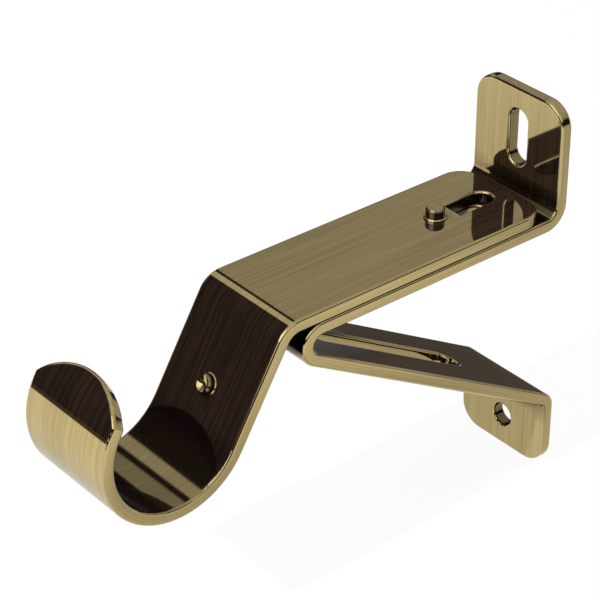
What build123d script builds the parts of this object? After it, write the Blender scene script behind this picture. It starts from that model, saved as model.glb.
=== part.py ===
from build123d import *

import os
from math import asin, atan2, cos, degrees, hypot, radians, sin, sqrt, tan

# Adjustable curtain pole bracket: two folded flat straps and two pan head screws.
# Frame: the wall is the plane Y = 0, the pole lies along X and +Z is up. The origin is the
# centre of the round wall screw hole, on the wall. Reach is the distance out from the wall (-Y).

# Strap stock that both folded pieces are made from
strap_width = 25.4
strap_thickness = 2.8
edge_round = 0.6
corner_radius = 5.5

# Wall bracket
arm_level = 56.2
plate_height = 24.8
plate_bend_radius = 2.6
lower_arm_reach = 70.8
nose_radius = 2.2
foot_corner_level = 8.8
foot_bend_radius = 1.0
foot_below_hole = 7.5
foot_hole_diameter = 5.2
wall_slot_width = 5.2
wall_slot_length = 12.7
wall_slot_rise = 13.6
access_slot_width = 6.0
access_margin = 6.0

# Pole arm
slide_travel = 30.0
bend_clearance = 0.3
fold_overhang = 4.1
fold_radius = 3.2
slope_angle = 59.6
slope_length = 26.5
pole_diameter = 28.0
pole_clearance = 0.6
hook_sweep = 205.0
lip_crown = 6.35
window_width = 4.8
window_length = 10.4
window_to_screw = 5.0
tab_end_gap = 0.3
tab_corner_radius = 1.2
tab_side_gap = 0.1
guide_clearance = 0.3
guide_past_window = 1.3

# Pan head screws and the tapped collars that they turn in
screw_diameter = 4.0
thread_clearance = 0.05
tip_bevel = 0.35
collar_wall = 0.4
collar_height = 0.5
collar_bevel = 0.2
head_diameter = 8.0
head_height = 3.1
head_round = 1.8
recess_length = 4.4
recess_width = 1.0
recess_depth = 1.9
lock_screw_reach = 25.4
lock_tip_height = 2.4
pole_screw_rise = 8.1
pole_tip_height = 1.7
pole_head_gap = 1.4

# How far cutting shapes run past the strap's faces
cut_margin = 1.0

# Sizes that follow from those above
half_width = strap_width / 2
strap_round = min(edge_round, 0.45 * strap_thickness)
screw_radius = screw_diameter / 2
tab_width = window_width - 2 * tab_side_gap
tab_drop = strap_thickness - tab_end_gap
guide_slot_width = tab_width + 2 * guide_clearance
hook_radius = pole_diameter / 2 + pole_clearance
window_edge_reach = lock_screw_reach - window_to_screw
arm_end_reach = strap_thickness + plate_bend_radius + bend_clearance
arm_top = arm_level + strap_thickness
side_view = Plane(origin=(0, 0, 0), x_dir=(0, -1, 0), z_dir=(-1, 0, 0))


def place(reach, height):
    """Point on the middle plane of the bracket, from its reach and its height."""
    return Vector(0, -reach, height)


def folded_strap(face_line):
    """Strap whose one face follows the line, with its thickness on the line's right-hand side."""
    outline = face_line.offset_2d(strap_thickness, side=Side.RIGHT, closed=True)
    return extrude(side_view * make_face(outline), amount=half_width, both=True)


def sharp_edges(part):
    """Edges where two faces meet at about a right angle."""
    neighbours = {}
    for face in part.faces():
        for edge in face.edges():
            neighbours.setdefault(edge, []).append(face)
    found = ShapeList()
    for edge, faces in neighbours.items():
        if len(faces) == 2:
            middle = edge.position_at(0.5)
            first, second = (face.normal_at(middle) for face in faces)
            if abs(first.dot(second)) < 0.3:
                found.append(edge)
    return found


def cut_through(part, plane, outline, rims=(0, -strap_thickness)):
    """Cuts an outline through the strap below the plane and rounds its rims at the levels given."""
    tool = extrude(plane.offset(cut_margin) * outline, amount=-strap_thickness - 2 * cut_margin)
    box = outline.bounding_box()

    def on_rim(edge):
        centre = plane.to_local_coords(edge.center())
        ends = [plane.to_local_coords(Vector(vertex)).Z for vertex in edge.vertices()]
        level = any(all(abs(end - face) < 0.001 for end in ends) for face in rims)
        inside_x = box.min.X - 0.01 < centre.X < box.max.X + 0.01
        return level and inside_x and box.min.Y - 0.01 < centre.Y < box.max.Y + 0.01

    cut = part - tool
    return fillet(cut.edges().filter_by(on_rim), strap_round) if rims else cut


# Brace line: its underside runs from the foot's corner as a tangent to the outside of the nose
nose_outer = nose_radius + strap_thickness
nose_centre = Vector(lower_arm_reach - nose_outer, arm_level - nose_outer)
foot_corner = Vector(strap_thickness, foot_corner_level)
to_nose = nose_centre - foot_corner
brace_angle = degrees(atan2(to_nose.Y, to_nose.X) - asin(nose_outer / hypot(to_nose.X, to_nose.Y)))
nose_corner_reach = strap_thickness + (arm_level - foot_corner_level) / tan(radians(brace_angle))


def make_wall_bracket():
    """Wall plate, lower arm, nose, brace and foot, folded from one strap."""
    plate_top = arm_level + plate_height
    foot_bottom = -foot_below_hole
    front = FilletPolyline(
        (strap_thickness, plate_top),
        (strap_thickness, arm_level),
        (nose_corner_reach, arm_level),
        (strap_thickness, foot_corner_level),
        (strap_thickness, foot_bottom),
        radius=[plate_bend_radius, nose_outer, foot_bend_radius],
    )
    blank = folded_strap(front.wire())
    corners = [
        edge
        for edge in blank.edges().filter_by(Axis.Y)
        if edge.center().Z > plate_top - 0.01 or edge.center().Z < foot_bottom + 0.01
    ]
    blank = fillet(corners, corner_radius)
    bracket = fillet(sharp_edges(blank), strap_round)

    wall_slot = Plane(place(strap_thickness, arm_level + wall_slot_rise), x_dir=(0, 0, 1), z_dir=(0, -1, 0))
    bracket = cut_through(bracket, wall_slot, SlotOverall(wall_slot_length, wall_slot_width), rims=(0,))

    foot_hole = Plane(place(strap_thickness, 0), x_dir=(1, 0, 0), z_dir=(0, -1, 0))
    bracket = cut_through(bracket, foot_hole, Circle(foot_hole_diameter / 2), rims=(0,))

    # Guide slot for the lock screw and the pole arm's tab over the whole travel
    guide_start = window_edge_reach - window_length + guide_past_window
    guide_end = lock_screw_reach + slide_travel + screw_radius + guide_clearance
    guide = Plane(place((guide_start + guide_end) / 2, arm_level), x_dir=(0, -1, 0), z_dir=(0, 0, 1))
    bracket = cut_through(bracket, guide, SlotOverall(guide_end - guide_start, guide_slot_width), rims=(0,))

    # Access slot in the brace, which lets a screwdriver follow the lock screw
    along = Vector(0, -cos(radians(brace_angle)), sin(radians(brace_angle)))
    upward = Vector(0, sin(radians(brace_angle)), cos(radians(brace_angle)))
    access_reach = lock_screw_reach + slide_travel / 2
    underside_level = foot_corner_level + (access_reach - strap_thickness) * tan(radians(brace_angle))
    on_top = place(access_reach, underside_level) + upward * strap_thickness
    access_length = (slide_travel + 2 * access_margin) / cos(radians(brace_angle))
    access = Plane(on_top, x_dir=along, z_dir=upward)
    return cut_through(bracket, access, SlotOverall(access_length, access_slot_width))


# Pole arm line: the slope falls from the fold's corner and runs as a tangent into the hook
fold_corner = Vector(lower_arm_reach + fold_overhang, arm_top)
slope_way = Vector(cos(radians(slope_angle)), -sin(radians(slope_angle)))
slope_face = Vector(sin(radians(slope_angle)), cos(radians(slope_angle)))
hook_start = fold_corner + slope_way * slope_length
pole_axis = hook_start + slope_face * hook_radius
pole_screw_foot = hook_start - slope_way * pole_screw_rise
lip_angle = 90 - slope_angle + 180 + hook_sweep


def trim_lip(blank):
    """Rounds the end of the lip to an arc that spans the strap's width, cut square to the strap's faces."""
    end_angle = radians(lip_angle)
    front_radius = hook_radius + strap_thickness
    end_radius = (lip_crown**2 + half_width**2) / (2 * lip_crown)

    def end_line(radius):
        points = []
        for share in range(-12, 13):
            across = (half_width + cut_margin) * share / 12
            drop = end_radius - sqrt(end_radius**2 - across**2)
            angle = end_angle - drop / front_radius
            on_arc = place(pole_axis.X + radius * cos(angle), pole_axis.Y + radius * sin(angle))
            points.append(on_arc + Vector(across, 0, 0))
        return Spline(points)

    inner_line = end_line(hook_radius - cut_margin)
    outer_line = end_line(front_radius + 2 * cut_margin)
    end_face = Face.make_surface_from_curves(inner_line, outer_line)
    onward = Vector(0, sin(end_angle), cos(end_angle))
    return blank - extrude(end_face, amount=2 * lip_crown, dir=onward)


def add_tapped_collar(part, plane):
    """Raises a low collar on the plane and bores it and the strap for a screw."""
    ring = extrude(plane * Circle(screw_radius + collar_wall), amount=collar_height)
    rim = ring.edges().filter_by(lambda edge: plane.to_local_coords(edge.center()).Z > collar_height / 2)
    ring = chamfer(rim.filter_by(GeomType.CIRCLE), min(collar_bevel, 0.45 * collar_wall, 0.45 * collar_height))
    bore = extrude(
        plane.offset(collar_height + cut_margin) * Circle(screw_radius + thread_clearance),
        amount=-collar_height - strap_thickness - 2 * cut_margin,
    )
    return part + ring - bore


def make_pole_arm():
    """Flat arm, slope, hook and lip folded from one strap, with the guide tab and both collars."""
    straight = FilletPolyline(
        (arm_end_reach, arm_top),
        (fold_corner.X, fold_corner.Y),
        (hook_start.X, hook_start.Y),
        radius=fold_radius + strap_thickness,
    )
    hook_start_angle = lip_angle - hook_sweep
    hook = CenterArc((pole_axis.X, pole_axis.Y), hook_radius, hook_start_angle, hook_sweep)
    blank = folded_strap(Wire(straight.edges() + hook.edges()))
    corners = [
        edge for edge in blank.edges().filter_by(Axis.Z) if edge.center().Y > -arm_end_reach - 0.01
    ]
    blank = trim_lip(fillet(corners, corner_radius))
    arm = fillet(sharp_edges(blank), strap_round)

    # Window left by the guide tab: round towards the wall, straight where the tab was bent down
    window = Plane(place(window_edge_reach, arm_top), x_dir=(0, 1, 0), z_dir=(0, 0, 1))
    straight_length = window_length - window_width / 2
    opening = Rectangle(straight_length, window_width, align=(Align.MIN, Align.CENTER))
    opening += Pos(straight_length, 0) * Circle(window_width / 2)
    arm = cut_through(arm, window, opening, rims=(0,))

    # Guide tab: it hangs from the window's straight edge and ends inside the lower arm's guide slot
    tab_plane = Plane(place(window_edge_reach, arm_level - tab_drop), x_dir=(1, 0, 0), z_dir=(0, -1, 0))
    tab = Rectangle(tab_width, tab_drop + strap_thickness / 2, align=(Align.CENTER, Align.MIN))
    tab_corners = tab.vertices().group_by(Axis.Y)[0]
    tab = fillet(tab_corners, min(tab_corner_radius, 0.45 * tab_width, 0.9 * tab_drop))
    arm += extrude(tab_plane * tab, amount=strap_thickness)

    lock_collar = Plane(place(lock_screw_reach, arm_top), x_dir=(1, 0, 0), z_dir=(0, 0, 1))
    arm = add_tapped_collar(arm, lock_collar)
    return add_tapped_collar(arm, slope_plane(0))


def slope_plane(height):
    """Plane on the pole screw's axis, at a height over the slope's pole side."""
    way_up = Vector(0, -slope_face.X, slope_face.Y)
    return Plane(place(pole_screw_foot.X, pole_screw_foot.Y) + way_up * height, x_dir=(1, 0, 0), z_dir=way_up)


def make_screw(shank_length):
    """Pan head screw with a cross recess, its head below Z = 0 and its shank above."""
    shank = Cylinder(screw_radius, shank_length, align=(Align.CENTER, Align.CENTER, Align.MIN))
    tip = shank.edges().group_by(Axis.Z)[-1]
    shank = chamfer(tip, min(tip_bevel, 0.9 * screw_radius))
    head = Cylinder(head_diameter / 2, head_height, align=(Align.CENTER, Align.CENTER, Align.MAX))
    crown = head.edges().group_by(Axis.Z)[0]
    head = fillet(crown, min(head_round, 0.9 * head_height, 0.45 * head_diameter))
    slot = Box(recess_length, recess_width, recess_depth, align=(Align.CENTER, Align.CENTER, Align.MIN))
    recess = slot + Rot(0, 0, 90) * slot
    return shank + head - Pos(0, 0, -head_height) * recess


os.makedirs("parts", exist_ok=True)

lock_head_plane = Plane(place(lock_screw_reach, arm_level - strap_thickness))
lock_length = 2 * strap_thickness + lock_tip_height
pole_length = pole_head_gap + strap_thickness + pole_tip_height

export_step(make_wall_bracket(), "parts/wall_bracket.step")
export_step(make_pole_arm(), "parts/pole_arm.step")
export_step(lock_head_plane * make_screw(lock_length), "parts/lock_screw.step")
export_step(slope_plane(pole_tip_height - pole_length) * make_screw(pole_length), "parts/pole_screw.step")
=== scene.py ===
from math import atan2, cos, hypot, pi, radians, sin, tan

import bpy
import numpy as np
from mathutils import Matrix, Vector
from mathutils.bvhtree import BVHTree


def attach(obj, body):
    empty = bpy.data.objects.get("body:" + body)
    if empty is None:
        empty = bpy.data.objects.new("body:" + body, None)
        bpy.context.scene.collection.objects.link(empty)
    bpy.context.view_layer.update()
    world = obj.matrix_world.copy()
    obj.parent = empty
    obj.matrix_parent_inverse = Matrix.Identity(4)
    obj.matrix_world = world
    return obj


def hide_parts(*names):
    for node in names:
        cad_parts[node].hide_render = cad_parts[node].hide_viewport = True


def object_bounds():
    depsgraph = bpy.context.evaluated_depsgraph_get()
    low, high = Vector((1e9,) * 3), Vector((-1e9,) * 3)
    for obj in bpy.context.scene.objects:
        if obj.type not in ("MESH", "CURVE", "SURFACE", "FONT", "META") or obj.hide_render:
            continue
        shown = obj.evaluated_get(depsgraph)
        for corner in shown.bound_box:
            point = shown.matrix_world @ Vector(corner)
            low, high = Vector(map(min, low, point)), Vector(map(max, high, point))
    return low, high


bl_info = {
    "name": "Curtain Pole Bracket",
    "version": (1, 0, 0),
    "blender": (4, 5, 0),
    "location": "View3D > Sidebar > Bracket",
    "description": "Brushed antique brass for a curtain pole bracket, with threaded screws and a stage",
    "category": "Object",
}

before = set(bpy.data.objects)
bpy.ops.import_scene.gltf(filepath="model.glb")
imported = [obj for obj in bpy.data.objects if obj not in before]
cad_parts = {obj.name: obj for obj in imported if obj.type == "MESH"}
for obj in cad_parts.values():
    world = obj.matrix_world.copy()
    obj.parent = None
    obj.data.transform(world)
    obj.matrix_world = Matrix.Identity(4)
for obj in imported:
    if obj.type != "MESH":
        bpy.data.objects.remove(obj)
cad_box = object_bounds()

WALL_END, ARM_END = "wall_bracket", "pole_arm"
STRAP_UV = "strap_length"
RIM_ATTRIBUTE, RECESS_ATTRIBUTE, HOLLOW_ATTRIBUTE = "rim", "recess", "hollow"
WORN_ATTRIBUTE = "worn"
WHITE = (1.0, 1.0, 1.0, 1.0)

# Lengths on the straps in metres: step along a fold line, longest edge, bend that counts as fully hollow
LINE_STEP = 0.0004
EDGE_LIMIT = 0.006
HOLLOW_RADIUS = 0.016
HOLE_MARGIN = 0.0001

# Counts for the straps: points on a bend and on the hook, steps per metre in which vertices are merged,
# points over which a bend is smoothed, and vertices that are searched for at once
BEND_POINTS, HOOK_POINTS = 4, 160
WELD_STEPS = 2e6
HOLLOW_WINDOW = 17
SEARCH_BLOCK = 1000

# How the straps close in a place, for the painted shade: start over the surface, range, number and
# flattest slope of the rays
RAY_LIFT, RAY_REACH, RAY_COUNT, RAY_SLOPE = 0.0012, 0.030, 48, 0.12
# Corners whose normals round to the same step share their rays
NORMAL_STEPS = 8
SMOOTH_PASSES = 3

# Brushed plating: noise detail and seed of the lines and bands, clouds, and what they weigh
LINE_LOOK, BAND_LOOK = (3.0, 2.7), (2.0, 9.1)
BRUSH_ROUGHNESS = 0.62
BAND_STRETCH = 3
CLOUD_SCALE, CLOUD_DETAIL, CLOUD_MIDDLE = 55.0, 3.0, 0.5
LINE_WEIGHT, BAND_WEIGHT, CLOUD_WEIGHT = 0.62, 0.28, 0.10
STREAK_RANGE = (0.36, 0.64)
EDGE_RANGE, EDGE_SHARE = (0.3, 0.7), 0.4
# Painted shade: how clouds stir the closed-in share, the range in which it darkens the colour and how
# far, and how far a hollow bend darkens it
CLOSED_CLOUDS, CLOSED_RANGE, CLOSED_SHARE = 0.08, (0.37, 0.55), 0.95
HOLLOW_SHARE = 0.42
STREAK_ROUGH, SHADE_ROUGH = 0.02, 0.12
SCATTER_LEAST, SCATTER_GAIN, SCATTER_RANGE = 0.8, 0.55, (0.42, 0.58)
RELIEF_LINES, RELIEF_BANDS = 0.75, 0.25

# Turned plating of the screws
GRAIN_SCALE, GRAIN_DETAIL, GRAIN_ROUGHNESS = 900.0, 3.0, 0.6
GRAIN_RANGE, GRAIN_BUMP = (0.35, 0.65), 0.6
UNWORN_TARNISH, GRAIN_ROUGH, UNWORN_ROUGH = 0.7, 0.05, 0.08

# Screws: corners round the axis, rows of the outline, shares of the thread, the wear and the recess,
# and an allowance that keeps the shank's limit off the head
SCREW_CORNERS = 65
SCREW_ROWS = (0, 8, 6, 104, 3, 4, 14, 3)
THREAD_FLANK = (0.2, 0.75)
HEAD_ALLOWANCE = 0.1
TIP_WEAR, SEAT_WEAR = (0.0, 0.3), (0.3, 0.9)
RECESS_TAPER = 0.4
CREASE_ANGLE = radians(32)
MERGE_DISTANCE = 1e-6

# Floor: drop below the bracket in metres, paint, and glow to the camera
FLOOR_DROP = 0.0002
FLOOR_PAINT = (0.95, 0.95, 0.95, 1.0)
CAMERA_GLOW = 0.95

# Floor as the metal reflects it: zones in metres from the foot hole, in shares of the table's radius for
# the far floor, and levels
FAR_START, FAR_END = 0.9, 1.1
FAR_LEVEL, FAR_GAIN = 0.03, 0.4
TABLE_LEVEL = 0.54
MIDDLE_ZONE, MIDDLE_GAIN = (-0.07, -0.02), 0.21
FRONT_ZONE, FRONT_GAIN = (0.09, 0.18), 0.28
RIGHT_DIP, RIGHT_LOSS = (0.0, 0.05), 0.18
RIGHT_RISE, RIGHT_GAIN = (0.055, 0.085), 0.34
NEAR_ZONE, NEAR_LOSS = (0.03, 0.06), 0.07
PATCH_ACROSS, PATCH_EDGE, PATCH_GAIN = (0.815, -0.58), (0.0077, 0.0085), 0.22
WALL_EDGE = (-0.001, 0.001)
SHADE_ACROSS, SHADE_OFFSET = (0.634, 0.773), 0.016
SHADE_START, SHADE_EDGE, SHADE_LEVEL = (0.045, 0.060), (0.022, 0.032), 0.058
DEEP_LEVEL = 0.015

# Room as the metal reflects it. Panels: first and last turn from the back towards the left, lowest and
# highest rise, softness of the edges, all in degrees, and the level
PANELS = (
    (71.5, 95, 20, 57, 1.5, 0.62),
    (-46, 61.5, 20, 57, 1.5, 0.38),
    (-46, 25, 5, 20, 1.5, 0.5),
    (-165, -68, 18, 57, 5, 0.9),
)
TOP_RISE, TOP_LEVEL = (sin(radians(68)), sin(radians(74))), 0.7
STRIP_MIDDLE, STRIP_EDGE = -0.672, (0.065, 0.095)
AROUND_RISE, AROUND_LEAST, AROUND_GAIN = (0.33, 0.45), 0.3, 0.3
DEEP_FRONT = (0.1, 0.3)
FRONT_DISC = (cos(radians(27)), cos(radians(23)))
FRONT_GLARE = (1.8, 1.8, 1.8, 1.0)

# Lamps and camera
LAMP_SIZE, LAMP_PLACE = 1.2, (0.0, -0.05, 1.0)
FRONT_SIZE, FRONT_AIM = 0.01, (0.0, -0.11, 0.056)
SENSOR_WIDTH = 36.0
CLIP_START, CLIP_END = 0.01, 100.0


class Socket:
    """A node socket that works in Python arithmetic: each operation adds one Math node to its tree."""

    def __init__(self, tree, socket):
        self.tree = tree
        self.socket = socket

    @classmethod
    def node(cls, tree, kind, options=None, inputs=None, output=0):
        """Adds a node, sets its options first and then its sockets, and wraps one of its outputs."""
        made = tree.nodes.new(kind)
        for name, value in (options or {}).items():
            setattr(made, name, value)
        for key, value in (inputs or {}).items():
            if isinstance(value, Socket):
                value = [value]
            if isinstance(value, list):
                for each in value:
                    tree.links.new(each.socket, made.inputs[key])
            else:
                made.inputs[key].default_value = value
        return cls(tree, made.outputs[output]) if made.outputs else made

    def math(self, operation, *others):
        """Adds a Math node with this socket first and the others after it."""
        inputs = dict(enumerate((self, *others)))
        return Socket.node(self.tree, "ShaderNodeMath", {"operation": operation}, inputs)

    def flipped(self, operation, other):
        """Adds a Math node with the other value first, for the reflected operators."""
        return Socket.node(self.tree, "ShaderNodeMath", {"operation": operation}, {0: other, 1: self})

    def __add__(self, other):
        return self.math("ADD", other)

    def __sub__(self, other):
        return self.math("SUBTRACT", other)

    def __rsub__(self, other):
        return self.flipped("SUBTRACT", other)

    def __mul__(self, other):
        return self.math("MULTIPLY", other)

    def __truediv__(self, other):
        return self.math("DIVIDE", other)

    __radd__ = __add__
    __rmul__ = __mul__


def between(tree, value, low, high):
    """Smooth step of a value from 0 at low to 1 at high."""
    options = {"interpolation_type": "SMOOTHSTEP", "clamp": True}
    inputs = {"Value": value, "From Min": low, "From Max": high, "To Min": 0.0, "To Max": 1.0}
    return Socket.node(tree, "ShaderNodeMapRange", options, inputs)


def blend_colours(tree, share, first, second):
    """Colour that goes from the first to the second as the share goes from 0 to 1."""
    # Sockets for colours share their names with those for numbers, so they go by number
    inputs = {"Factor": share, 6: first, 7: second}
    return Socket.node(tree, "ShaderNodeMix", {"data_type": "RGBA"}, inputs, output=2)


def new_material(name):
    """A material with nodes, and its tree."""
    material = bpy.data.materials.new(name)
    material.use_nodes = True
    return material, material.node_tree


def feed_shader(tree, values):
    """Links sockets to the inputs of a material's shader and sets constants on them."""
    inputs = tree.nodes["Principled BSDF"].inputs
    for name, value in values.items():
        if isinstance(value, Socket):
            tree.links.new(value.socket, inputs[name])
        else:
            inputs[name].default_value = value


def add_object(name, data):
    """A new object in the scene."""
    made = bpy.data.objects.new(name, data)
    bpy.context.scene.collection.objects.link(made)
    return made


def opaque(colour):
    """The colour with full alpha, as colour sockets take it."""
    return (*colour, 1.0)


def parts(tree, vector):
    """The three parts of a vector."""
    split = Socket.node(tree, "ShaderNodeSeparateXYZ", inputs={0: vector})
    return [Socket(tree, output) for output in split.socket.node.outputs]


def attribute(tree, name):
    """What a mesh attribute holds at each place."""
    return Socket.node(tree, "ShaderNodeAttribute", {"attribute_name": name}, output="Fac")


class BracketFinish(bpy.types.PropertyGroup):
    """Colours and brushing of the antique brass plating."""

    brass: bpy.props.FloatVectorProperty(
        name="Brass", description="Plating where the brush has cleaned it", subtype="COLOR",
        size=3, min=0.0, max=1.0, default=(0.60, 0.475, 0.21))
    patina: bpy.props.FloatVectorProperty(
        name="Patina", description="Darker plating left between the brush lines", subtype="COLOR",
        size=3, min=0.0, max=1.0, default=(0.47, 0.365, 0.165))
    polished: bpy.props.FloatVectorProperty(
        name="Polished Edge", description="Plating on edges that handling has polished",
        subtype="COLOR", size=3, min=0.0, max=1.0, default=(0.68, 0.55, 0.27))
    # Painted shade: on the straps this dark colour stands in for the shade where they close in and inside
    # bends; on the screws it is tarnish
    tarnish_and_shade: bpy.props.FloatVectorProperty(
        name="Tarnish", description="Dark tarnish in recesses that the brush can't reach",
        subtype="COLOR", size=3, min=0.0, max=1.0, default=(0.07, 0.05, 0.03))
    roughness: bpy.props.FloatProperty(
        name="Roughness", description="Roughness where the brush has cleaned the plating",
        min=0.0, max=1.0, default=0.04)
    scatter: bpy.props.FloatProperty(
        name="Scatter", description="Share of light that the lacquer scatters",
        min=0.0, max=1.0, default=0.02)
    line_spacing: bpy.props.FloatProperty(
        name="Line Spacing", description="Usual distance between brush lines",
        subtype="DISTANCE", default=0.00034)
    line_length: bpy.props.FloatProperty(
        name="Line Length", description="Usual length of a brush line",
        subtype="DISTANCE", default=0.030)
    line_depth: bpy.props.FloatProperty(
        name="Line Depth", description="Depth of the brush lines",
        subtype="DISTANCE", default=0.0000012)
    band_spacing: bpy.props.FloatProperty(
        name="Band Spacing", description="Width of the broader bands that brushing leaves",
        subtype="DISTANCE", default=0.0017)


class BracketStraps(bpy.types.PropertyGroup):
    """Fold lines and screw openings, as reach from the wall and height over the foot hole."""

    plate_face: bpy.props.FloatProperty(
        name="Plate Face", description="Reach of the front of plate and foot",
        subtype="DISTANCE", default=0.0028)
    plate_top: bpy.props.FloatProperty(
        name="Plate Top", description="Height of the wall plate's top",
        subtype="DISTANCE", default=0.081)
    arm_level: bpy.props.FloatProperty(
        name="Arm Level", description="Height where the two straps meet",
        subtype="DISTANCE", default=0.0562)
    nose_corner: bpy.props.FloatProperty(
        name="Nose Corner", description="Reach where lower arm and brace would cross",
        subtype="DISTANCE", default=0.08435)
    foot_corner: bpy.props.FloatProperty(
        name="Foot Corner", description="Height where brace and foot meet",
        subtype="DISTANCE", default=0.0088)
    foot_bottom: bpy.props.FloatProperty(
        name="Foot Bottom", description="Height of the foot's lower end",
        subtype="DISTANCE", default=-0.0075)
    wall_bends: bpy.props.FloatVectorProperty(
        name="Wall Bracket Bends", description="Bend radii at plate, nose and foot", subtype="XYZ",
        size=3, default=(0.0026, 0.005, 0.001))
    hole_radius: bpy.props.FloatProperty(
        name="Hole Radius", description="Radius of the foot hole and of the wall slot's ends",
        subtype="DISTANCE", default=0.0026)
    slot_height: bpy.props.FloatProperty(
        name="Slot Height", description="Height of the wall slot's centre",
        subtype="DISTANCE", default=0.0698)
    slot_straight: bpy.props.FloatProperty(
        name="Slot Straight", description="Straight length of the wall slot",
        subtype="DISTANCE", default=0.0075)
    # Painted shade: how far the walls of the foot hole and the wall slot are darkened, as if in shade
    hole_shade: bpy.props.FloatProperty(
        name="Hole Shade", description="How closed in the foot hole's wall counts as",
        subtype="FACTOR", default=0.49)
    slot_shade: bpy.props.FloatProperty(
        name="Slot Shade", description="How closed in the wall slot's wall counts as",
        subtype="FACTOR", default=0.455)
    arm_start: bpy.props.FloatProperty(
        name="Arm Start", description="Reach of the pole arm's wall end",
        subtype="DISTANCE", default=0.0057)
    arm_top: bpy.props.FloatProperty(
        name="Arm Top", description="Height of the pole arm's top", subtype="DISTANCE", default=0.059)
    fold_corner: bpy.props.FloatProperty(
        name="Fold Corner", description="Reach where arm and slope would cross",
        subtype="DISTANCE", default=0.0749)
    fold_bend: bpy.props.FloatProperty(
        name="Fold Bend", description="Bend radius of the fold", subtype="DISTANCE", default=0.006)
    hook_start: bpy.props.FloatVectorProperty(
        name="Hook Start", description="Reach and height where the slope runs into the hook",
        subtype="XYZ_LENGTH", size=2, default=(0.088310, 0.036143))
    hook_centre: bpy.props.FloatVectorProperty(
        name="Hook Centre", description="Reach and height of the pole's axis", subtype="XYZ_LENGTH",
        size=2, default=(0.100903, 0.043531))
    hook_sweep: bpy.props.FloatProperty(
        name="Hook Sweep", description="Angle that the hook runs round the pole",
        subtype="ANGLE", default=radians(205))


class BracketScrews(bpy.types.PropertyGroup):
    """Sizes and places of the pan head screws."""

    radius: bpy.props.FloatProperty(
        name="Shank Radius", description="Radius over the thread", subtype="DISTANCE", default=0.002)
    tip_bevel: bpy.props.FloatProperty(
        name="Tip Bevel", description="Bevel of the tip's edge", subtype="DISTANCE", default=0.00035)
    plain_tip: bpy.props.FloatProperty(
        name="Plain Tip", description="Length of the tip that has no thread",
        subtype="DISTANCE", default=0.0026)
    head_radius: bpy.props.FloatProperty(
        name="Head Radius", description="Radius of the pan head", subtype="DISTANCE", default=0.004)
    head_height: bpy.props.FloatProperty(
        name="Head Height", description="Height of the pan head", subtype="DISTANCE", default=0.0031)
    head_round: bpy.props.FloatProperty(
        name="Head Rounding", description="Rounding of the pan head's crown",
        subtype="DISTANCE", default=0.0018)
    recess_length: bpy.props.FloatProperty(
        name="Recess Length", description="Length of the cross recess",
        subtype="DISTANCE", default=0.0044)
    recess_width: bpy.props.FloatProperty(
        name="Recess Width", description="Width of the cross recess", subtype="DISTANCE", default=0.001)
    recess_depth: bpy.props.FloatProperty(
        name="Recess Depth", description="Depth of the cross recess",
        subtype="DISTANCE", default=0.0019)
    pitch: bpy.props.FloatProperty(
        name="Thread Pitch", description="Distance between the thread's turns",
        subtype="DISTANCE", default=0.0007)
    thread_depth: bpy.props.FloatProperty(
        name="Thread Depth", description="Depth of the thread", subtype="DISTANCE", default=0.0003)
    lock_length: bpy.props.FloatProperty(
        name="Lock Screw Length", description="Shank length of the lock screw",
        subtype="DISTANCE", default=0.008)
    lock_seat: bpy.props.FloatVectorProperty(
        name="Lock Screw Seat", description="Place under the lock screw's head", subtype="XYZ_LENGTH",
        size=3, default=(0.0, -0.0254, 0.0534))
    pole_length: bpy.props.FloatProperty(
        name="Pole Screw Length", description="Shank length of the pole screw",
        subtype="DISTANCE", default=0.0059)
    pole_cup: bpy.props.FloatProperty(
        name="Pole Screw Cup", description="Depth of the hollow in the pole screw's tip",
        subtype="DISTANCE", default=0.0006)
    pole_seat: bpy.props.FloatVectorProperty(
        name="Pole Screw Seat", description="Place under the pole screw's head", subtype="XYZ_LENGTH",
        size=3, default=(0.0, -0.0805885, 0.0410041))
    pole_tilt: bpy.props.FloatProperty(
        name="Pole Screw Tilt", description="Lean of the pole screw from upright",
        subtype="ANGLE", default=radians(59.6))


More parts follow.
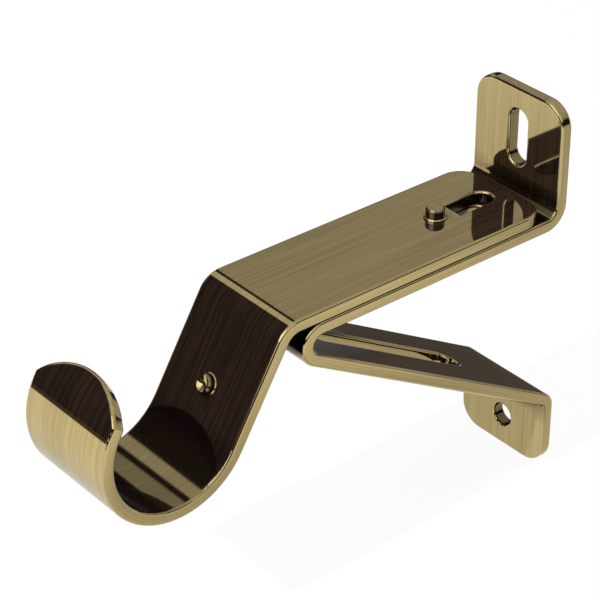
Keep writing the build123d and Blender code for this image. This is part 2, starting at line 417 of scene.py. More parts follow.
class BracketStage(bpy.types.PropertyGroup):
    """Camera, floor and surroundings."""

    eye: bpy.props.FloatVectorProperty(
        name="Camera", description="Place of the camera",
        subtype="XYZ_LENGTH", size=3, default=(0.2934, -0.3037, 0.2909))
    target: bpy.props.FloatVectorProperty(
        name="Target", description="Point in the middle of the picture",
        subtype="XYZ_LENGTH", size=3, default=(0.0, -0.0612, 0.0533))
    lens: bpy.props.FloatProperty(
        name="Lens", description="Focal length", subtype="DISTANCE_CAMERA", default=136.6)
    floor_size: bpy.props.FloatProperty(
        name="Floor Size", description="Side of the floor", subtype="DISTANCE", default=40.0)
    table_radius: bpy.props.FloatProperty(
        name="Table Radius",
        description="Distance at which the bright floor ends in the metal's reflections",
        subtype="DISTANCE", default=0.9)
    haze: bpy.props.FloatVectorProperty(
        name="Haze", description="Light of the room on matt surfaces",
        subtype="COLOR", size=3, default=(0, 0, 0))
    floor_dark: bpy.props.FloatVectorProperty(
        name="Floor Dark", description="Colour that the shaded floor takes in reflections",
        subtype="COLOR", size=3, min=0.0, max=1.0, default=(0.016, 0.006, 0.004))
    room: bpy.props.FloatVectorProperty(
        name="Room", description="Colour of the dark room that the metal reflects", subtype="COLOR",
        size=3, min=0.0, max=1.0, default=(0.005, 0.0005, 0.010))
    deep_front: bpy.props.FloatVectorProperty(
        name="Deep Front", description="What a reflection of a reflection finds in front",
        subtype="COLOR", size=3, min=0.0, max=1.0, default=(0.03, 0.024, 0.09))
    deep_back: bpy.props.FloatVectorProperty(
        name="Deep Back", description="What a reflection of a reflection finds behind", subtype="COLOR",
        size=3, min=0.0, max=1.0, default=(0.018, 0.014, 0.06))
    deepest: bpy.props.FloatVectorProperty(
        name="Deepest", description="What reflections find that are passed on twice", subtype="COLOR",
        size=3, min=0.0, max=1.0, default=(0.10, 0.11, 0.22))
    deep_light: bpy.props.FloatVectorProperty(
        name="Deep Light", description="What a reflection of a reflection finds of the light in front",
        subtype="COLOR", size=3, min=0.0, soft_max=1.0, default=(0.85, 1.1, 2.3))
    lamp_power: bpy.props.FloatProperty(
        name="Lamp Power", description="Power of the soft lamp over the floor",
        subtype="POWER", default=8.0)
    front_way: bpy.props.FloatVectorProperty(
        name="Front Light", description="Direction of the light in front",
        subtype="XYZ", size=3, default=(0.045, -0.74, 0.67))
    front_tint: bpy.props.FloatVectorProperty(
        name="Front Tint", description="Colour of the light in front", subtype="COLOR",
        size=3, min=0.0, max=1.0, default=(0.92, 0.76, 1.0))
    front_power: bpy.props.FloatProperty(
        name="Front Power", description="Power of the light in front", subtype="POWER", default=60.0)


def settings(name):
    """The property group of that name."""
    return getattr(bpy.context.scene, "bracket_" + name)


def bent_line(corners, bends):
    """Points along a line through the corners, with each inner corner rounded by its bend radius."""
    points = [np.array(corners[0])]
    for before, corner, after, bend in zip(corners, corners[1:], corners[2:], bends):
        corner = np.array(corner)
        back = np.array(before) - corner
        onward = np.array(after) - corner
        back /= np.linalg.norm(back)
        onward /= np.linalg.norm(onward)
        half = np.arccos(np.clip(back @ onward, -1, 1)) / 2
        middle = back + onward
        centre = corner + middle / np.linalg.norm(middle) * bend / sin(half)
        first = corner + back * bend / tan(half) - centre
        last = corner + onward * bend / tan(half) - centre
        start = atan2(first[1], first[0])
        turn = (atan2(last[1], last[0]) - start + pi) % (2 * pi) - pi
        for share in np.linspace(0, 1, max(BEND_POINTS, int(abs(turn) * bend / LINE_STEP))):
            angle = start + share * turn
            points.append(centre + bend * np.array((cos(angle), sin(angle))))
    points.append(np.array(corners[-1]))
    return evenly_spaced(np.array(points))


def evenly_spaced(points):
    """The same line with points at equal steps, and how far along it each one lies."""
    runs = np.linalg.norm(np.diff(points, axis=0), axis=1)
    along = np.concatenate(([0.0], np.cumsum(runs)))
    places = np.arange(0.0, along[-1] + LINE_STEP, LINE_STEP)
    return np.column_stack([np.interp(places, along, points[:, axis]) for axis in (0, 1)]), places


def wall_bracket_line():
    """Fold line of the wall bracket from the plate's top over the nose to the foot's lower end."""
    straps = settings("straps")
    corners = [
        (straps.plate_face, straps.plate_top),
        (straps.plate_face, straps.arm_level),
        (straps.nose_corner, straps.arm_level),
        (straps.plate_face, straps.foot_corner),
        (straps.plate_face, straps.foot_bottom),
    ]
    return bent_line(corners, straps.wall_bends)


def pole_arm_line():
    """Fold line of the pole arm from its wall end over the fold and round the hook to the lip."""
    straps = settings("straps")
    start = tuple(straps.hook_start)
    centre = np.array(straps.hook_centre)
    corners = [(straps.arm_start, straps.arm_top), (straps.fold_corner, straps.arm_top), start]
    straight, _ = bent_line(corners, [straps.fold_bend])
    spoke = np.array(start) - centre
    first = atan2(spoke[1], spoke[0])
    angles = first + np.linspace(0, straps.hook_sweep, HOOK_POINTS)
    hook = centre + hypot(*spoke) * np.column_stack((np.cos(angles), np.sin(angles)))
    return evenly_spaced(np.vstack((straight[:-1], hook)))


def welded_corners(node):
    """Places, triangles and corner normals of a CAD node, with its doubled vertices merged."""
    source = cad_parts[node].data
    places = np.empty(len(source.vertices) * 3, np.float32)
    source.vertices.foreach_get("co", places)
    places = places.reshape(-1, 3)
    rounded = np.round(places * WELD_STEPS).astype(np.int64)
    _, keep, index = np.unique(rounded, axis=0, return_index=True, return_inverse=True)
    corners = np.empty(len(source.loops), np.int32)
    source.loops.foreach_get("vertex_index", corners)
    normals = np.empty(len(source.loops) * 3, np.float32)
    source.corner_normals.foreach_get("vector", normals)
    triangles = index.reshape(-1)[corners].reshape(-1, 3)
    ends = np.roll(triangles, -1, axis=1)
    whole = (triangles != ends).all(1)
    normals = normals.reshape(-1, 3, 3)[whole].reshape(-1, 3)
    return places[keep].astype(float), triangles[whole], normals.astype(float)


def split_long_edges(places, triangles, normals):
    """Halves edges that are longer than the limit, so that values at corners can follow the surface."""
    # New triangles by the number of halved edges: 0 to 2 are the corners, 3 to 5 the middles after them
    patterns = {
        1: ((0, 3, 2), (3, 1, 2)),
        2: ((3, 1, 4), (0, 3, 4), (0, 4, 2)),
        3: ((0, 3, 5), (3, 1, 4), (5, 4, 2), (3, 4, 5)),
    }
    normals = normals.reshape(-1, 3, 3)
    while True:
        ends = np.roll(triangles, -1, axis=1)
        marked = np.linalg.norm(places[triangles] - places[ends], axis=2) > EDGE_LIMIT
        if not marked.any():
            return places, triangles, normals.reshape(-1, 3)
        count = len(places)
        keys = np.minimum(triangles, ends).astype(np.int64) * count + np.maximum(triangles, ends)
        halved, index = np.unique(keys[marked], return_inverse=True)
        middles = np.zeros(triangles.shape, np.int64)
        middles[marked] = count + index.reshape(-1)
        places = np.vstack((places, (places[halved // count] + places[halved % count]) / 2))
        between_normals = normals + np.roll(normals, -1, axis=1)
        between_normals /= np.linalg.norm(between_normals, axis=2)[:, :, None]
        total = marked.sum(1)
        new_triangles, new_normals = [triangles[total == 0]], [normals[total == 0]]
        for number, pattern in patterns.items():
            chosen = total == number
            first = marked[chosen].argmax(1) if number == 1 else (marked[chosen].argmin(1) + 1) % 3
            order = (np.arange(3)[None, :] + first[:, None]) % 3
            corners = np.hstack([
                np.take_along_axis(each[chosen], order, 1) for each in (triangles, middles)])
            facing = np.hstack([
                np.take_along_axis(each[chosen], order[:, :, None], 1)
                for each in (normals, between_normals)])
            for corner in pattern:
                new_triangles.append(corners[:, corner])
                new_normals.append(facing[:, corner])
        triangles, normals = np.vstack(new_triangles), np.vstack(new_normals)


def strap_tree():
    """Search tree of both straps at rest."""
    places, triangles = [], []
    for name in (WALL_END, ARM_END):
        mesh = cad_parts[name].data
        start = len(places)
        places.extend(vertex.co.copy() for vertex in mesh.vertices)
        triangles.extend([start + corner for corner in face.vertices] for face in mesh.polygons)
    return BVHTree.FromPolygons(places, triangles)


def spread_ways(count):
    """Directions spread evenly over a ball."""
    rise = 1 - (2 * np.arange(count) + 1) / count
    turn = np.arange(count) * pi * (3 - 5 ** 0.5)
    flat = np.sqrt(1 - rise ** 2)
    return np.column_stack((flat * np.cos(turn), flat * np.sin(turn), rise))


def closed_in(places, triangles, normals, straps):
    """Share of the space over each corner that the straps close in, from 0 in the open to 1."""
    flat = triangles.reshape(-1)
    rows = np.column_stack((flat, np.round(normals * NORMAL_STEPS))).astype(np.int64)
    _, first, index = np.unique(rows, axis=0, return_index=True, return_inverse=True)
    spread = spread_ways(RAY_COUNT)
    shares = np.empty(len(first))
    for row, corner in enumerate(first):
        facing = normals[corner]
        start = Vector(places[flat[corner]] + facing * RAY_LIFT)
        weights = spread @ facing
        outward = weights > RAY_SLOPE
        total = blocked = 0.0
        for way, weight in zip(spread[outward], weights[outward]):
            total += weight
            if straps.ray_cast(start, Vector(way), RAY_REACH)[0] is not None:
                blocked += weight
        shares[row] = blocked / total
    return smoothed(shares[index.reshape(-1)], triangles, len(places))


def smoothed(values, triangles, count):
    """Corner values averaged over each vertex and then, a few times, half over its neighbours."""
    flat = triangles.reshape(-1)
    ends = np.roll(triangles, -1, axis=1).reshape(-1)
    corners = np.bincount(flat, minlength=count)
    level = np.bincount(flat, values, minlength=count) / np.maximum(corners, 1)
    for _ in range(SMOOTH_PASSES):
        around = np.bincount(flat, level[ends], minlength=count) / np.maximum(corners, 1)
        level = (level + around) / 2
    return level[flat]


def screw_openings(places):
    """How closed in each vertex on the wall of an opening for a wall screw counts as, 0 elsewhere."""
    straps = settings("straps")
    level = np.zeros(len(places))
    holes = (
        (0.0, 0.0, straps.hole_shade),
        (straps.slot_height, straps.slot_straight, straps.slot_shade),
    )
    # Painted shade: the walls of the foot hole and the wall slot count as closed in, which darkens them
    # as if in shade
    for height, straight, tarnish_and_shade in holes:
        rise = np.maximum(np.abs(places[:, 2] - height) - straight / 2, 0)
        inside = np.hypot(places[:, 0], rise) < straps.hole_radius + HOLE_MARGIN
        level[inside & (places[:, 1] > -straps.plate_face - HOLE_MARGIN)] = tarnish_and_shade
    return level


def store(mesh, name, values):
    """Keeps one value per corner as an attribute of the mesh."""
    layer = mesh.attributes.new(name, "FLOAT", "CORNER")
    layer.data.foreach_set("value", np.asarray(values, np.float32))


def unroll(mesh, places, triangles, normals, line):
    """Stores each corner's place along and across the strap, how near a rim and how hollow it is."""
    points, along = line
    way = np.gradient(points, axis=0)
    heading = np.unwrap(np.arctan2(way[:, 1], way[:, 0]))
    window = np.hanning(HOLLOW_WINDOW)
    bend = np.convolve(np.gradient(heading, along), window / window.sum(), mode="same")
    side = np.column_stack((-places[:, 1], places[:, 2]))
    nearest = np.empty(len(side), int)
    for start in range(0, len(side), SEARCH_BLOCK):
        block = side[start:start + SEARCH_BLOCK]
        gaps = ((block[:, None, :] - points[None, :, :]) ** 2).sum(2)
        nearest[start:start + SEARCH_BLOCK] = gaps.argmin(1)
    ahead = points[np.minimum(nearest + 1, len(points) - 1)] - points[np.maximum(nearest - 1, 0)]
    ahead /= np.linalg.norm(ahead, axis=1)[:, None]
    off = side - points[nearest]
    length = along[nearest] + (off * ahead).sum(1)
    depth = off[:, 0] * ahead[:, 1] - off[:, 1] * ahead[:, 0]
    across = places[:, 0] + depth
    layer = mesh.uv_layers.new(name=STRAP_UV)
    flat = triangles.reshape(-1)
    unrolled = np.column_stack((length[flat], across[flat]))
    layer.data.foreach_set("uv", unrolled.astype(np.float32).reshape(-1))
    facing = np.column_stack((-ahead[:, 1], ahead[:, 0]))[flat]
    lean = facing[:, 0] * -normals[:, 1] + facing[:, 1] * normals[:, 2]
    store(mesh, RIM_ATTRIBUTE, (4 * np.abs(lean) * (1 - np.abs(lean))).clip(0, 1))
    # Painted shade: the hollow share later darkens the colour inside bends such as the hook
    store(mesh, HOLLOW_ATTRIBUTE, (bend[nearest][flat] * lean * HOLLOW_RADIUS).clip(0, 1))


def brushed_brass(name):
    """Plating brushed along the strap, read from the strap's own unrolled length."""
    finish = settings("finish")
    material, tree = new_material(name)
    uv = Socket.node(tree, "ShaderNodeUVMap", {"uv_map": STRAP_UV})
    length, across, _ = parts(tree, uv)

    def brush(spacing, reach, detail, seed):
        """Noise that is drawn out along the strap."""
        stretched = {0: length / reach, 1: across / spacing, 2: seed}
        place = Socket.node(tree, "ShaderNodeCombineXYZ", inputs=stretched)
        look = {"Scale": 1.0, "Detail": detail, "Roughness": BRUSH_ROUGHNESS, "Vector": place}
        return Socket.node(tree, "ShaderNodeTexNoise", {"noise_dimensions": "3D"}, look)

    lines = brush(finish.line_spacing, finish.line_length, *LINE_LOOK)
    bands = brush(finish.band_spacing, finish.line_length * BAND_STRETCH, *BAND_LOOK)
    place = Socket.node(tree, "ShaderNodeTexCoord", output="Object")
    clouds = Socket.node(tree, "ShaderNodeTexNoise", inputs={
        "Vector": place, "Scale": CLOUD_SCALE, "Detail": CLOUD_DETAIL})
    rim = attribute(tree, RIM_ATTRIBUTE)
    recess = attribute(tree, RECESS_ATTRIBUTE)
    hollow = attribute(tree, HOLLOW_ATTRIBUTE)

    grain = lines * LINE_WEIGHT + bands * BAND_WEIGHT + clouds * CLOUD_WEIGHT
    streak = between(tree, grain, *STREAK_RANGE)
    plating = blend_colours(tree, streak, opaque(finish.patina), opaque(finish.brass))
    edge = rim * between(tree, clouds, *EDGE_RANGE) * EDGE_SHARE
    colour = blend_colours(tree, edge, plating, opaque(finish.polished))
    # Painted shade: where the straps close in, and inside bends, the colour darkens towards the dark
    # colour to stand in for shade
    uneven = recess + (clouds - CLOUD_MIDDLE) * CLOSED_CLOUDS
    closed = between(tree, uneven, *CLOSED_RANGE) * CLOSED_SHARE
    shade = closed.math("MAXIMUM", hollow * HOLLOW_SHARE)
    colour = blend_colours(tree, shade, colour, opaque(finish.tarnish_and_shade))
    rough = finish.roughness + (1 - streak) * STREAK_ROUGH + shade * SHADE_ROUGH
    haze = SCATTER_LEAST + SCATTER_GAIN * between(tree, lines, *SCATTER_RANGE)
    metal = 1 - finish.scatter * haze
    relief = lines * RELIEF_LINES + bands * RELIEF_BANDS
    bump = Socket.node(tree, "ShaderNodeBump", inputs={
        "Strength": 1.0, "Distance": finish.line_depth, "Height": relief})
    feed_shader(tree, {"Base Color": colour, "Roughness": rough, "Metallic": metal, "Normal": bump})
    return material


def turned_brass(name):
    """The same plating on a turned screw, with a fine grain and dark where handling doesn't wear it."""
    finish = settings("finish")
    material, tree = new_material(name)
    place = Socket.node(tree, "ShaderNodeTexCoord", output="Object")
    grain = Socket.node(tree, "ShaderNodeTexNoise", inputs={
        "Vector": place, "Scale": GRAIN_SCALE, "Detail": GRAIN_DETAIL, "Roughness": GRAIN_ROUGHNESS})
    worn = attribute(tree, WORN_ATTRIBUTE)
    tone = between(tree, grain, *GRAIN_RANGE)
    colour = blend_colours(tree, tone, opaque(finish.patina), opaque(finish.brass))
    colour = blend_colours(tree, (1 - worn) * UNWORN_TARNISH, colour, opaque(finish.tarnish_and_shade))
    rough = finish.roughness + (1 - tone) * GRAIN_ROUGH + (1 - worn) * UNWORN_ROUGH
    bump = Socket.node(tree, "ShaderNodeBump", inputs={
        "Strength": GRAIN_BUMP, "Distance": finish.line_depth, "Height": grain})
    metal = 1.0 - finish.scatter
    feed_shader(tree, {"Base Color": colour, "Roughness": rough, "Metallic": metal, "Normal": bump})
    return material


def take_place(piece, node):
    """Lets a finished piece ride on its CAD node's body in place of that node."""
    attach(piece, node)
    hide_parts(node)


class BRACKET_OT_straps(bpy.types.Operator):
    """Dress the two folded straps in brass that is brushed along their length"""

    bl_idname = "bracket.straps"
    bl_label = "Brushed Straps"

    def execute(self, context):
        brass = brushed_brass("brushed_antique_brass")
        straps = strap_tree()
        for node, line in ((WALL_END, wall_bracket_line()), (ARM_END, pole_arm_line())):
            places, triangles, normals = split_long_edges(*welded_corners(node))
            mesh = bpy.data.meshes.new(node + "_strap")
            mesh.from_pydata(places.tolist(), [], triangles.tolist())
            mesh.polygons.foreach_set("use_smooth", np.ones(len(mesh.polygons), bool))
            mesh.normals_split_custom_set(normals.tolist())
            unroll(mesh, places, triangles, normals, line)
            # Painted shade: the closed-in share and the screw openings' walls are kept to darken the
            # colour there
            recess = closed_in(places, triangles, normals, straps)
            openings = screw_openings(places)[triangles.reshape(-1)]
            store(mesh, RECESS_ATTRIBUTE, np.maximum(recess, openings))
            mesh.materials.append(brass)
            take_place(add_object(node + "_strap", mesh), node)
        return {"FINISHED"}


def screw_tree(brass):
    """Geometry nodes for a pan head screw: a turned outline with a thread and a tapered cross recess."""
    tree = bpy.data.node_groups.new("pan_head_screw", "GeometryNodeTree")
    sizes = (
        "Shank Radius", "Shank Length", "Tip Bevel", "Head Radius", "Head Height", "Head Rounding",
        "Recess Length", "Recess Width", "Recess Depth", "Thread Pitch", "Thread Depth", "Plain Tip",
        "Tip Cup")
    for name in sizes:
        tree.interface.new_socket(name, in_out="INPUT", socket_type="NodeSocketFloat")
    for name in ("Seat", "Turn"):
        tree.interface.new_socket(name, in_out="INPUT", socket_type="NodeSocketVector")
    tree.interface.new_socket("Screw", in_out="OUTPUT", socket_type="NodeSocketGeometry")
    entry = tree.nodes.new("NodeGroupInput")
    (radius, length, bevel, head, height, crown,
     recess_length, recess_width, recess_depth, pitch, thread, plain, cup) = (
        Socket(tree, entry.outputs[name]) for name in sizes)

    # Rows of the outline from the middle of the tip, down the shank and over the head to its middle
    rows = np.cumsum(SCREW_ROWS).tolist()
    grid = Socket.node(tree, "GeometryNodeMeshGrid", inputs={
        "Size X": 1.0, "Size Y": 1.0, "Vertices X": SCREW_CORNERS, "Vertices Y": rows[-1] + 1})
    around, along, _ = parts(tree, Socket(tree, grid.socket.node.outputs[1]))
    tip, tip_edge, shank, seat, side, dome, top = (
        Socket.node(tree, "ShaderNodeMapRange", {"clamp": True}, {
            "Value": along, "From Min": first / rows[-1], "From Max": last / rows[-1]})
        for first, last in zip(rows, rows[1:]))
    bow = dome * (pi / 2)
    outline = (
        (radius - bevel) * tip + bevel * tip_edge + (head - radius) * seat
        - crown * (1 - bow.math("COSINE")) - (head - crown) * top)
    level = (
        length - cup * (1 - tip * tip) - bevel * tip_edge - (length - bevel) * shank
        - (height - crown) * side - crown * bow.math("SINE"))
    wave = (level / pitch + around).math("PINGPONG", 0.5) * 2
    threaded = between(tree, length - level, plain, plain + pitch)
    cut = thread * (1 - between(tree, wave, *THREAD_FLANK)) * threaded
    reach = outline.math("MINIMUM", radius - cut + seat * HEAD_ALLOWANCE)
    angle = around * (-2 * pi)
    turned = Socket.node(tree, "ShaderNodeCombineXYZ", inputs={
        0: reach * angle.math("COSINE"), 1: reach * angle.math("SINE"), 2: level})
    body = Socket.node(tree, "GeometryNodeSetPosition", inputs={"Geometry": grid, "Position": turned})
    worn = (1 - between(tree, tip_edge, *TIP_WEAR)).math("MAXIMUM", between(tree, seat, *SEAT_WEAR))
    kept = {"data_type": "FLOAT", "domain": "POINT"}
    body = Socket.node(tree, "GeometryNodeStoreNamedAttribute", kept, {
        "Geometry": body, "Name": WORN_ATTRIBUTE, "Value": worn})
    body = Socket.node(tree, "GeometryNodeMergeByDistance", inputs={
        "Geometry": body, "Distance": MERGE_DISTANCE})

    def blade(long, wide):
        """One arm of the cross that is cut into the head, narrower at its depth."""
        size = Socket.node(tree, "ShaderNodeCombineXYZ", inputs={0: long, 1: wide, 2: recess_depth * 2})
        cube = Socket.node(tree, "GeometryNodeMeshCube", inputs={"Size": size})
        x, y, z = parts(tree, Socket.node(tree, "GeometryNodeInputPosition"))
        taper = 1 - z / recess_depth * RECESS_TAPER
        tapered = Socket.node(tree, "ShaderNodeCombineXYZ", inputs={
            0: x * taper, 1: y * taper, 2: z - height})
        return Socket.node(tree, "GeometryNodeSetPosition", inputs={
            "Geometry": cube, "Position": tapered})

    cross = [blade(recess_length, recess_width), blade(recess_width, recess_length)]
    cutting = {"operation": "DIFFERENCE", "solver": "EXACT"}
    body = Socket.node(tree, "GeometryNodeMeshBoolean", cutting, {"Mesh 1": body, "Mesh 2": cross})
    body = Socket.node(tree, "GeometryNodeSetShadeSmooth", inputs={0: body})
    crease = Socket.node(tree, "GeometryNodeInputMeshEdgeAngle").math("GREATER_THAN", CREASE_ANGLE)
    body = Socket.node(tree, "GeometryNodeSetShadeSmooth", {"domain": "EDGE"}, {
        0: body, 1: crease, 2: False})
    place, turn = (Socket(tree, entry.outputs[name]) for name in ("Seat", "Turn"))
    body = Socket.node(tree, "GeometryNodeTransform", inputs={
        "Geometry": body, "Translation": place, "Rotation": turn})
    body = Socket.node(tree, "GeometryNodeRealizeInstances", inputs={0: body})
    body = Socket.node(tree, "GeometryNodeSetMaterial", inputs={"Geometry": body, "Material": brass})
    Socket.node(tree, "NodeGroupOutput", inputs={0: body})
    return tree


def plain_mesh(tree, name, values):
    """Object that holds what a geometry tree makes from the values, as a plain mesh."""
    holder = add_object(name, bpy.data.meshes.new(name))
    modifier = holder.modifiers.new(name, "NODES")
    modifier.node_group = tree
    for item in tree.interface.items_tree:
        if item.in_out == "INPUT":
            modifier[item.identifier] = values[item.name]
    evaluated = holder.evaluated_get(bpy.context.evaluated_depsgraph_get())
    mesh = bpy.data.meshes.new_from_object(evaluated)
    holder.modifiers.clear()
    holder.data = mesh
    mesh.name = name
    return holder


class BRACKET_OT_screws(bpy.types.Operator):
    """Make the two threaded pan head screws"""

    bl_idname = "bracket.screws"
    bl_label = "Pan Head Screws"

    def execute(self, context):
        screws = settings("screws")
        tree = screw_tree(turned_brass("turned_antique_brass"))
        # The tree's inputs have the names of the properties
        names = {key: screws.bl_rna.properties[key].name for key in screws.__annotations__}
        values = {name: getattr(screws, key) for key, name in names.items()}
        for node, length, cup, seat, tilt in (
            ("lock_screw", screws.lock_length, 0.0, screws.lock_seat, 0.0),
            ("pole_screw", screws.pole_length, screws.pole_cup, screws.pole_seat, screws.pole_tilt),
        ):
            place = {"Seat": tuple(seat), "Turn": (tilt, 0.0, 0.0)}
            sizes = {**values, "Shank Length": length, "Tip Cup": cup, **place}
            take_place(plain_mesh(tree, node + "_threaded", sizes), node)
        return {"FINISHED"}


def later_reflection(tree, number):
    """1 for what the metal finds in its reflection of that number or a later one, 0 for earlier ones."""
    depth = Socket.node(tree, "ShaderNodeLightPath", output="Glossy Depth")
    return between(tree, depth, number - 1.0, number)


def outside_strip(side):
    """0 in the dark strip of the room at the left, 1 elsewhere, by a direction's share along X."""
    return between(side.tree, (side - STRIP_MIDDLE).math("ABSOLUTE"), *STRIP_EDGE)


def floor_material():
    """Pale floor: white with a faint shadow to the camera, a table top of several levels to the metal."""
    stage = settings("stage")
    material, tree = new_material("pale_floor")
    tree.nodes.clear()
    light_path = tree.nodes.new("ShaderNodeLightPath")
    camera, glossy, through, diffuse = (
        Socket(tree, light_path.outputs["Is " + kind + " Ray"])
        for kind in ("Camera", "Glossy", "Transmission", "Diffuse"))
    place = Socket.node(tree, "ShaderNodeTexCoord", output="Object")
    side, back, _ = parts(tree, place)
    front = back * -1
    reach = Socket.node(tree, "ShaderNodeVectorMath", {"operation": "LENGTH"}, {0: place}, output="Value")

    table = (
        TABLE_LEVEL + between(tree, front, *MIDDLE_ZONE) * MIDDLE_GAIN
        + between(tree, front, *FRONT_ZONE) * FRONT_GAIN)
    table = table * (
        1 - between(tree, side, *RIGHT_DIP) * RIGHT_LOSS
        + between(tree, side, *RIGHT_RISE) * RIGHT_GAIN)
    # Painted light and shade in the glow: a brighter patch beside the foot, and darker near the foot hole
    # where the bracket's shadow would fall
    near = 1 - between(tree, reach, *NEAR_ZONE)
    slant = side * PATCH_ACROSS[0] + back * PATCH_ACROSS[1]
    patch = between(tree, slant, *PATCH_EDGE) * between(tree, front, *WALL_EDGE)
    table = table * (1 - near * NEAR_LOSS) * (1 + patch * near * PATCH_GAIN)
    # Painted shadow: shaded strip at the back, which the brace reflects
    aside = (side * SHADE_ACROSS[0] + back * SHADE_ACROSS[1] - SHADE_OFFSET).math("ABSOLUTE")
    shaded = between(tree, back, *SHADE_START) * (1 - between(tree, aside, *SHADE_EDGE))
    table = table * (1 - shaded) + shaded * SHADE_LEVEL

    far = between(tree, reach, stage.table_radius * FAR_START, stage.table_radius * FAR_END)
    distance = FAR_LEVEL + outside_strip(side / reach) * FAR_GAIN
    direct = table * (1 - far) + far * distance
    later = later_reflection(tree, 2)
    level = camera + (1 - camera) * (1 - diffuse) * (direct * (1 - later) + later * DEEP_LEVEL)
    tone = blend_colours(tree, level, opaque(stage.floor_dark), WHITE)
    glow = Socket.node(tree, "ShaderNodeEmission", inputs={"Color": tone, "Strength": 1.0})
    paint = Socket.node(tree, "ShaderNodeBsdfDiffuse", inputs={"Color": FLOOR_PAINT})
    seen = (camera * CAMERA_GLOW + glossy + through + diffuse).math("MINIMUM", 1.0)
    mixed = Socket.node(tree, "ShaderNodeMixShader", inputs={0: seen, 1: paint, 2: glow})
    Socket.node(tree, "ShaderNodeOutputMaterial", inputs={0: mixed})
    return material


def studio_world():
    """Surroundings: white to the camera, in reflections a dark room with a window and soft panels."""
    stage = settings("stage")
    world = bpy.data.worlds.new("studio")
    world.use_nodes = True
    tree = world.node_tree
    tree.nodes.clear()
    way = Socket.node(tree, "ShaderNodeTexCoord", output="Generated")
    side, back, rise = parts(tree, way)
    front = back * -1
    turn = (side * -1).math("ARCTAN2", back)

    def panel(first, last, low, high, soft):
        """Soft-edged panel between two turns from the back towards the left and two rises, in degrees."""
        shape = between(tree, turn, radians(first - soft), radians(first + soft))
        shape = shape * (1 - between(tree, turn, radians(last - soft), radians(last + soft)))
        shape = shape * between(tree, rise, sin(radians(low - soft)), sin(radians(low + soft)))
        return shape * (1 - between(tree, rise, sin(radians(high - soft)), sin(radians(high + soft))))

    lit = between(tree, rise, *TOP_RISE) * TOP_LEVEL
    for *edges, level in PANELS:
        lit = lit + panel(*edges) * level
    around = outside_strip(side) * between(tree, rise, *AROUND_RISE) * (rise * AROUND_GAIN + AROUND_LEAST)
    share = lit.math("MAXIMUM", around).math("MINIMUM", 1.0)
    facing = Socket.node(tree, "ShaderNodeVectorMath", {"operation": "DOT_PRODUCT"}, {
        0: way, 1: stage.front_way}, output="Value")
    disc = between(tree, facing, *FRONT_DISC)

    room = blend_colours(tree, share, opaque(stage.room), WHITE)
    room = blend_colours(tree, disc, room, FRONT_GLARE)
    deep = blend_colours(
        tree, between(tree, front, *DEEP_FRONT), opaque(stage.deep_back), opaque(stage.deep_front))
    deep = blend_colours(tree, later_reflection(tree, 3), deep, opaque(stage.deepest))
    deep = blend_colours(tree, disc, deep, opaque(stage.deep_light))
    room = blend_colours(tree, later_reflection(tree, 2), room, deep)
    glossy = Socket.node(tree, "ShaderNodeLightPath", output="Is Glossy Ray")
    room = blend_colours(tree, glossy, opaque(stage.haze), room)
    camera = Socket.node(tree, "ShaderNodeLightPath", output="Is Camera Ray")
    colour = blend_colours(tree, camera, room, WHITE)
    light = Socket.node(tree, "ShaderNodeBackground", inputs={"Color": colour, "Strength": 1.0})
    Socket.node(tree, "ShaderNodeOutputWorld", inputs={0: light})
    return world


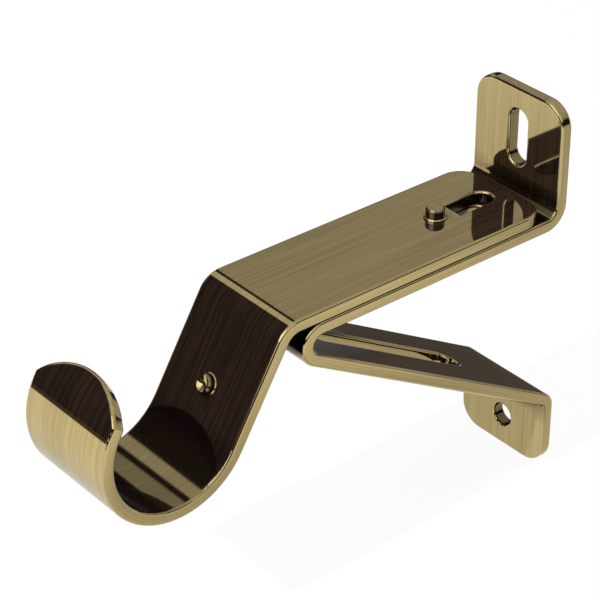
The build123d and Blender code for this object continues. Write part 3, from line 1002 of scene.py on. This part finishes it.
class BRACKET_OT_stage(bpy.types.Operator):
    """Set the floor, the surroundings, the lamps and the camera"""

    bl_idname = "bracket.stage"
    bl_label = "Studio Stage"

    def execute(self, context):
        stage = settings("stage")
        scene = context.scene
        scene.view_settings.view_transform = "Standard"
        scene.world = studio_world()

        half = stage.floor_size / 2
        level = cad_box[0].z - FLOOR_DROP
        corners = [(-half, -half, level), (half, -half, level), (half, half, level), (-half, half, level)]
        mesh = bpy.data.meshes.new("floor")
        mesh.from_pydata(corners, [], [(0, 1, 2, 3)])
        mesh.materials.append(floor_material())
        floor = add_object("floor", mesh)

        lamp = bpy.data.lights.new("soft_lamp", "AREA")
        lamp.size = LAMP_SIZE
        lamp.energy = stage.lamp_power
        over = add_object("soft_lamp", lamp)
        over.location = LAMP_PLACE
        over.visible_glossy = False

        beam = bpy.data.lights.new("front_light", "POINT")
        beam.energy = stage.front_power
        beam.color = stage.front_tint
        beam.shadow_soft_size = FRONT_SIZE
        front = add_object("front_light", beam)
        front.location = Vector(FRONT_AIM) + Vector(stage.front_way)
        front.visible_glossy = False

        camera = bpy.data.cameras.new("camera")
        camera.lens = stage.lens
        camera.sensor_width = SENSOR_WIDTH
        camera.sensor_fit = "HORIZONTAL"
        camera.clip_start = CLIP_START
        camera.clip_end = CLIP_END
        holder = add_object("camera", camera)
        eye = Vector(stage.eye)
        turn = (Vector(stage.target) - eye).to_track_quat("-Z", "Y")
        holder.matrix_world = Matrix.Translation(eye) @ turn.to_matrix().to_4x4()
        scene.camera = holder
        return {"FINISHED"}


class BRACKET_PT_panel(bpy.types.Panel):
    """Sizes, colours and steps of the bracket"""

    bl_idname = "BRACKET_PT_panel"
    bl_label = "Curtain Pole Bracket"
    bl_space_type = "VIEW_3D"
    bl_region_type = "UI"
    bl_category = "Bracket"

    def draw(self, context):
        for name, steps in PANEL_ORDER:
            box = self.layout.box()
            box.label(text=name.capitalize())
            group = settings(name)
            for key in group.__annotations__:
                box.prop(group, key)
            for step in steps:
                box.operator(step)


PANEL_ORDER = (
    ("finish", ()),
    ("straps", ("bracket.straps",)),
    ("screws", ("bracket.screws",)),
    ("stage", ("bracket.stage",)),
)
GROUPS = {
    "finish": BracketFinish,
    "straps": BracketStraps,
    "screws": BracketScrews,
    "stage": BracketStage,
}
CLASSES = (*GROUPS.values(), BRACKET_OT_straps, BRACKET_OT_screws, BRACKET_OT_stage, BRACKET_PT_panel)


def register():
    """Registers the classes and hangs the property groups on the scene."""
    for each in CLASSES:
        bpy.utils.register_class(each)
    for name, group in GROUPS.items():
        setattr(bpy.types.Scene, "bracket_" + name, bpy.props.PointerProperty(type=group))


def unregister():
    """Takes back what register does."""
    for name in GROUPS:
        delattr(bpy.types.Scene, "bracket_" + name)
    for each in reversed(CLASSES):
        bpy.utils.unregister_class(each)


def main():
    """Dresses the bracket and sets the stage."""
    register()
    bpy.ops.bracket.straps()
    bpy.ops.bracket.screws()
    bpy.ops.bracket.stage()


if __name__ == "__main__":
    main()
